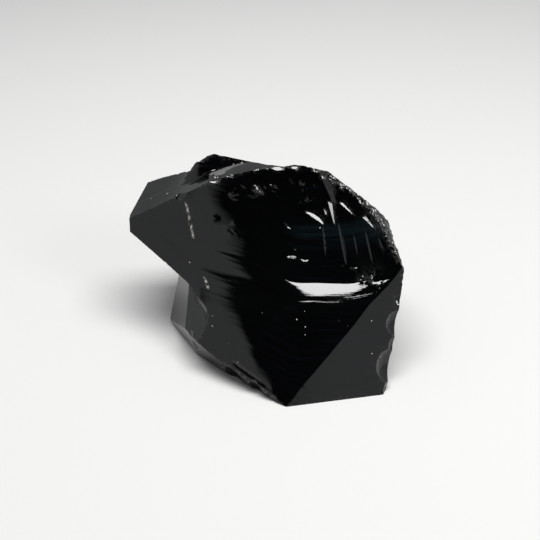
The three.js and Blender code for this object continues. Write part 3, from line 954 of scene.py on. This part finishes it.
_, _, _, ridge_edges = sharp_edges(stone.data, math.radians(30))
edge_ends = array_of(stone.data.edges, "vertices", 2, np.int64)
reach = np.linalg.norm(design[edge_ends[:, 0]] - design[edge_ends[:, 1]], axis=1) / WEAR_AND_GLINT_WIDTH
ridge_wear_and_glint = np.zeros(len(design))
ridge_wear_and_glint[edge_ends[ridge_edges].ravel()] = 1
for _ in range(12):
    before = ridge_wear_and_glint.copy()
    np.maximum.at(ridge_wear_and_glint, edge_ends[:, 0], before[edge_ends[:, 1]] - reach)
    np.maximum.at(ridge_wear_and_glint, edge_ends[:, 1], before[edge_ends[:, 0]] - reach)

# The ridge whitening, partly wear and partly painted glints, is strongest where the lump was
# knocked.
ridge_wear_and_glint *= np.clip(knocks(design) / 4, 0.15, 1)
scratch = np.zeros(len(design))
near_face = np.abs(flow[:, 2] - 5) < 4      # keeps the scrapes off the back of the lump
for start, end in SCRAPES:
    away, part = along_line(side_of, up_of, start, end)
    inside = smooth_step(-0.02, 0.05, part) * smooth_step(1.02, 0.95, part)
    scratch = np.maximum(scratch, inside * np.exp(-(away / SCRAPE_WIDTH) ** 2) * near_face)

for name, values, kind in (("flow", flow, "FLOAT_VECTOR"), ("ridge_wear_and_glint", ridge_wear_and_glint, "FLOAT"),
                           ("scratch", scratch, "FLOAT")):
    layer = stone.data.attributes.new(name, kind, "POINT")
    layer.data.foreach_set("vector" if kind == "FLOAT_VECTOR" else "value", values.ravel())
print("worn vertices:", int((ridge_wear_and_glint > 0.5).sum()))

# %% [markdown]
# ## Black glass
# A lump this thick lets no light through, so the glass is a plain dark body under a mirror-like
# surface: a Principled shader with an index of refraction of 1.5, almost no colour, and low
# roughness. Real transmission would be truer in a thin flake, but in the lump it would only cost
# time. The small helpers below make one node each, so that the finish can be written as sums.

# %% Material and its helpers
glass = bpy.data.materials.new("black_volcanic_glass")
glass.use_nodes = True
nodes, links = glass.node_tree.nodes, glass.node_tree.links
shader = nodes["Principled BSDF"]
shader.inputs["IOR"].default_value = 1.5


def node(kind, **settings):
    """A new node with its properties set."""
    made = nodes.new(kind)
    for name, value in settings.items():
        setattr(made, name, value)
    return made


def feed(target, value):
    """Links a socket, or sets a plain number, on an input."""
    if isinstance(value, bpy.types.NodeSocket):
        links.new(value, target)
    else:
        target.default_value = value


def math_node(operation, *values, clamp=False):
    """Arithmetic on sockets or numbers."""
    made = node("ShaderNodeMath", operation=operation, use_clamp=clamp)
    for target, value in zip(made.inputs, values):
        feed(target, value)
    return made.outputs[0]


def attribute(name, output="Fac"):
    """A mesh attribute, as a number or a vector."""
    return node("ShaderNodeAttribute", attribute_name=name).outputs[output]


def noise(vector, scale, detail=2.0, stretch=(1, 1, 1)):
    """Noise on the given coordinates, squeezed by stretch."""
    mapping = node("ShaderNodeMapping")
    mapping.inputs["Scale"].default_value = stretch
    links.new(vector, mapping.inputs["Vector"])
    made = node("ShaderNodeTexNoise")
    made.inputs["Scale"].default_value = scale
    made.inputs["Detail"].default_value = detail
    links.new(mapping.outputs[0], made.inputs["Vector"])
    return made.outputs["Fac"]


def ramp(value, low, high):
    """0 at low, 1 at high, clamped."""
    made = node("ShaderNodeMapRange")
    for name, number in (("From Min", low), ("From Max", high)):
        made.inputs[name].default_value = number
    links.new(value, made.inputs["Value"])
    return made.outputs["Result"]


def blend(first, second, amount):
    """Mixes two colours, or a colour and a socket."""
    made = node("ShaderNodeMix", data_type="RGBA")
    feed(made.inputs["A"], first)
    feed(made.inputs["B"], second)
    links.new(amount, made.inputs["Factor"])
    return made.outputs["Result"]


print("material:", glass.name, "with an index of refraction of", shader.inputs["IOR"].default_value)

# %% [markdown]
# ## Where the glass is white
# Whole glass is black, but crushed glass scatters light and turns grey-white. That happens on worn
# ridges, where the white is partly wear and partly painted glints, along the scrapes and, as it
# looks the same, at specks of dust. Each of these is a number
# from 0 to 1, and the largest of them wins. The scales count patterns per metre, because Object
# coordinates are metres, and the flow attribute is in millimetres.

# %% Streaks, wear and dust
DUST_PER_METRE = 420.0
place = node("ShaderNodeTexCoord").outputs["Object"]
flow_at = attribute("flow", "Vector")
streaks = noise(flow_at, 1.0, 3.0, (0.10, 3.2, 0.3))
broad_streaks = noise(flow_at, 1.0, 2.0, (0.05, 0.9, 0.2))
grain = noise(place, 900.0, 3.0)
patches = noise(place, 90.0, 2.0)

# Worn ridges: grey-white that is partly crushed glass and partly painted glints.
worn_and_glint = math_node("MULTIPLY", attribute("ridge_wear_and_glint"), ramp(noise(place, 1100.0, 3.0), 0.50, 0.75))
worn_and_glint = math_node("MULTIPLY", worn_and_glint, 0.3)
scratched = math_node("MULTIPLY", attribute("scratch"), ramp(grain, 0.42, 0.55))

dust_cells = node("ShaderNodeTexVoronoi", feature="F1")
dust_cells.inputs["Scale"].default_value = DUST_PER_METRE
links.new(place, dust_cells.inputs["Vector"])
speck = ramp(dust_cells.outputs["Distance"], 0.085, 0.05)
chosen = node("ShaderNodeSeparateColor")
links.new(dust_cells.outputs["Color"], chosen.inputs[0])
dust = math_node("MULTIPLY", speck, ramp(chosen.outputs[0], 0.86, 0.88))

white = math_node("MAXIMUM", worn_and_glint, math_node("MAXIMUM", dust, scratched))
print("nodes so far:", len(nodes))

# %% [markdown]
# ## The colour of the body, with painted sheen
# The body is black, and a faint blue and violet sheen is painted into its colour, stretched along
# the flow streaks. One flat colour would look like plastic. So two painted sheens are mixed in,
# both
# very dark: cloudy violet streaks anywhere, and one blue band that follows the flow across the
# hollow.

# %% Body colour
BLACK_GLASS = 0.0006, 0.0007, 0.0008, 1
# Faint violet streaks of painted sheen in the black glass.
VIOLET_SHEEN = 0.0016, 0.0017, 0.0030, 1
# A painted blue sheen, laid in one band across the hollow.
BLUE_SHEEN = 0.0019, 0.0036, 0.0043, 1
# Grey-white of crushed glass, also used for the painted glints on worn ridges.
CRUSHED_GLASS_AND_GLINT = 0.30, 0.29, 0.27, 1
flow_parts = node("ShaderNodeSeparateXYZ")
links.new(flow_at, flow_parts.inputs[0])
# The band of painted blue sheen across the hollow, above the step.
sheen_band = math_node("MULTIPLY", ramp(flow_parts.outputs["Y"], 9.0, 12.5),
                 ramp(flow_parts.outputs["Y"], 18.0, 15.5))
sheen_band = math_node("MULTIPLY", sheen_band, ramp(flow_parts.outputs["X"], 3.0, 10.0))
sheen_band = math_node("MULTIPLY", sheen_band, ramp(broad_streaks, 0.35, 0.6))
# Cloudy streaks of painted violet sheen, anywhere on the lump.
cloudy_sheen = math_node("MULTIPLY", ramp(broad_streaks, 0.46, 0.66), ramp(streaks, 0.35, 0.65))
cloudy_sheen = math_node("MULTIPLY", cloudy_sheen, ramp(noise(place, 45.0, 2.0), 0.42, 0.62))
body = blend(BLACK_GLASS, VIOLET_SHEEN, cloudy_sheen)
body = blend(body, BLUE_SHEEN, sheen_band)
links.new(blend(body, CRUSHED_GLASS_AND_GLINT, white), shader.inputs["Base Color"])
print("body colour:", BLACK_GLASS[:3], "to", CRUSHED_GLASS_AND_GLINT[:3])

# %% [markdown]
# ## Gloss and the finest streaks
# Fresh obsidian is as smooth as poured glass, and handling leaves thin smears on it. Roughness is
# therefore low everywhere and a little higher in soft patches, and high only where the glass is
# white: crushed, scratched, dusty, or painted with glints along the ridges. The finest streaks are
# a hundredth of a millimetre high, too fine for the mesh, so they are bump: they don't change the
# outline, but they draw the fine lines in the reflections.

# %% Gloss and bump
CLEAN_ROUGHNESS, SMEAR_ROUGHNESS, CRUSHED_ROUGHNESS = 0.035, 0.05, 0.45
STREAK_HEIGHT = 0.000012       # metres
smear = math_node("MULTIPLY_ADD", ramp(patches, 0.35, 0.75), SMEAR_ROUGHNESS, CLEAN_ROUGHNESS)
rough = math_node("MULTIPLY_ADD", white, CRUSHED_ROUGHNESS, smear)
links.new(rough, shader.inputs["Roughness"])

height = math_node("MULTIPLY_ADD", broad_streaks, 2.0, streaks)
height = math_node("MULTIPLY_ADD", white, 0.8, height)
bump = node("ShaderNodeBump")
bump.inputs["Strength"].default_value = 1.0
bump.inputs["Distance"].default_value = STREAK_HEIGHT
links.new(height, bump.inputs["Height"])
links.new(bump.outputs[0], shader.inputs["Normal"])

stone.data.materials.clear()
stone.data.materials.append(glass)
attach(stone, "root")
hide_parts(NODE)
print("material nodes:", len(nodes))

# %% [markdown]
# ## Floor
# The lump stands on pale paper, which is dull, so it takes the shadow and shows no reflection. A
# plane of plain matt colour is enough. It only has to be large, because the glass mirrors it.

# %% Floor
PAPER_GREY = 0.38, 0.38, 0.375, 1
floor = add_object("floor", [(-3, -3, 0), (3, -3, 0), (3, 3, 0), (-3, 3, 0)], [(0, 1, 2, 3)])
paper = bpy.data.materials.new("white_paper")
paper.use_nodes = True
paper_shader = paper.node_tree.nodes["Principled BSDF"]
paper_shader.inputs["Base Color"].default_value = PAPER_GREY
paper_shader.inputs["Roughness"].default_value = 0.9
paper_shader.inputs["Specular IOR Level"].default_value = 0.1
floor.data.materials.append(paper)
print("floor, m:", tuple(round(side, 2) for side in floor.dimensions))

# %% [markdown]
# ## Lamps
# Black glass shows nothing but reflections, so the light is most of the look. A mirror shows the
# lamp itself, so the lamp's size sets the size of the highlight and its power sets the floor's
# brightness. A sun or a point lamp would give dots. The overhead lamp is wide from side to side and
# narrow from front to back, which makes a bar out of the rolled ledge. The small side lamp only
# finds the little scars.

# %% Lamps
def add_lamp(name, place_at, turn, size, power):
    """A soft rectangular lamp of the given size in metres, face down before it is turned."""
    lamp = bpy.data.lights.new(name, "AREA")
    lamp.shape = "RECTANGLE"
    lamp.size, lamp.size_y = size
    lamp.energy = power
    obj = bpy.data.objects.new(name, lamp)
    obj.location = place_at
    obj.rotation_euler = turn
    bpy.context.scene.collection.objects.link(obj)


SIDE_TURN = math.radians(52), 0, math.radians(53)   # tipped towards the lump, then swung to it
add_lamp("overhead", (0.04, 0.0, 0.62), (0, 0, 0), (0.66, 0.24), 9.0)
add_lamp("side", (0.33, -0.25, 0.32), SIDE_TURN, (0.14, 0.14), 0.74)
print("lamps, watts:", {lamp.name: round(lamp.energy, 2) for lamp in bpy.data.lights})

# %% [markdown]
# ## Room
# The glass mirrors the whole room, so the room needs light and dark parts. Walls of real geometry
# would also shade the floor, so the room is a formula of direction and nothing else: grey all
# round, fading to dark between 50 and 58 degrees up, with a dark doorway in front, where the struck
# face looks. The doorway keeps the middle of the face black, while its left wing and right facet
# pick up grey. Each border is a short ramp, so its reflection is soft, as a far wall's would be.

# %% Room
ROOM_GREY = 0.62        # brightness of the walls
ROOM_COLOUR = 0.97, 0.99, 1.0, 1


def sine(degrees):
    """Height, on a ball of radius 1, of a direction this many degrees up."""
    return math.sin(math.radians(degrees))


world = bpy.data.worlds.new("room")
bpy.context.scene.world = world
world.use_nodes = True
nodes, links = world.node_tree.nodes, world.node_tree.links   # the helpers now work in the room
background = nodes["Background"]
direction = node("ShaderNodeTexCoord").outputs["Generated"]
split = node("ShaderNodeSeparateXYZ")
links.new(direction, split.inputs[0])
not_high = ramp(split.outputs["Z"], sine(58), sine(50))
from_left = ramp(split.outputs["X"], -0.36, -0.25)
from_right = ramp(split.outputs["X"], 0.34, 0.24)
from_floor = ramp(split.outputs["Z"], sine(6), sine(14))
in_front = ramp(split.outputs["Y"], 0.1, -0.1)
doorway = math_node("MULTIPLY", math_node("MULTIPLY", from_left, from_right),
                    math_node("MULTIPLY", from_floor, in_front))
grey = math_node("MULTIPLY", math_node("SUBTRACT", 1.0, doorway), not_high)
grey = math_node("MULTIPLY", grey, ROOM_GREY)
links.new(grey, background.inputs["Strength"])
background.inputs["Color"].default_value = ROOM_COLOUR
print("room nodes:", len(nodes))

# %% [markdown]
# ## Camera
# The camera looks straight at the struck face, 35 degrees down, from a little over a quarter of a
# metre, which is close enough for the near corners to look larger than the far ones. A longer lens
# from further off would flatten the wing against the face.

# %% Camera
CAMERA_TILT = math.radians(35)
CAMERA_MM = 261
camera_data = bpy.data.cameras.new("camera")
camera_data.lens = 60
camera_data.sensor_width = 36
camera = bpy.data.objects.new("camera", camera_data)
bpy.context.scene.collection.objects.link(camera)
bpy.context.scene.camera = camera
aim = Vector(to_frame(FACE_CENTRE))
distance = CAMERA_MM * MM * float(np.mean(stretch))
towards_camera = Vector((0, -math.cos(CAMERA_TILT), math.sin(CAMERA_TILT)))
camera.location = aim + towards_camera * distance
camera.rotation_euler = (math.radians(90) - CAMERA_TILT, 0, 0)
bpy.context.scene.view_settings.view_transform = "Standard"
print("camera at, m:", np.round(camera.location, 3))
